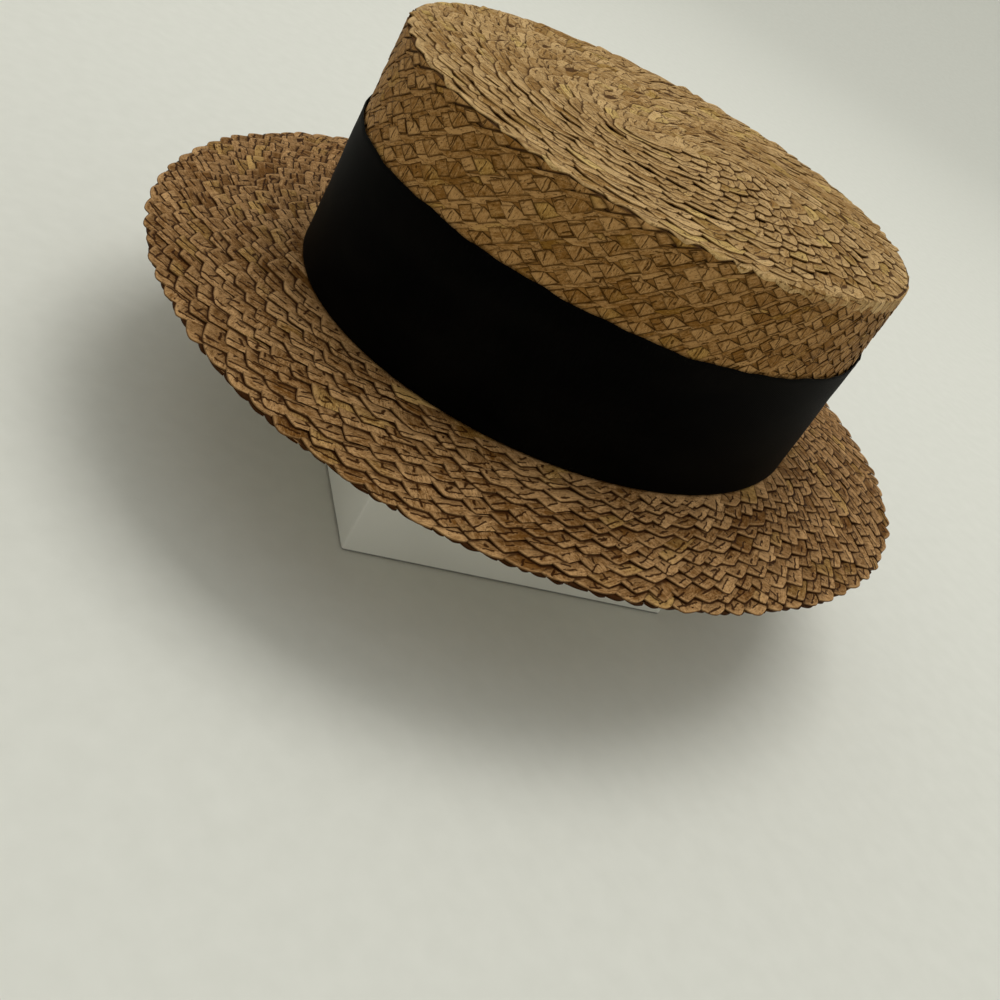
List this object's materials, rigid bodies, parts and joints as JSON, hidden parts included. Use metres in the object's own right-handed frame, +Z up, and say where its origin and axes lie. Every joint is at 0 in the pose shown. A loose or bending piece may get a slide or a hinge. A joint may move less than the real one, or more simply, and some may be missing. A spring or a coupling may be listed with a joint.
{
  "type": "straw boater hat on display block",
  "caption": "Stiff straw boater with a flat oval crown, a level brim and a plain wide ribbon, resting by its brim on a plain block.",
  "frame": {"origin": "on the surface that the block stands on, straight below the middle of the hat", "axes": "+Z up, +Y towards the wearer's back along the hat's length, +X to the wearer's left"},
  "size_m": [0.2564, 0.2944, 0.1359],
  "materials": {
    "tip_straw": "plaited straw, light golden brown",
    "side_straw": "plaited straw, golden brown",
    "brim_straw": "plaited straw, mid brown, darker along the rows",
    "ribbon": "matt ribbed ribbon, near black",
    "block_paint": "plain matt white paint"
  },
  "bodies": {
    "root": {"crown_tip": "tip_straw", "crown_side": "side_straw", "brim": "brim_straw", "ribbon_band": "ribbon", "ribbon_lap": "ribbon", "display_block": "block_paint"}
  },
  "joints": []
}
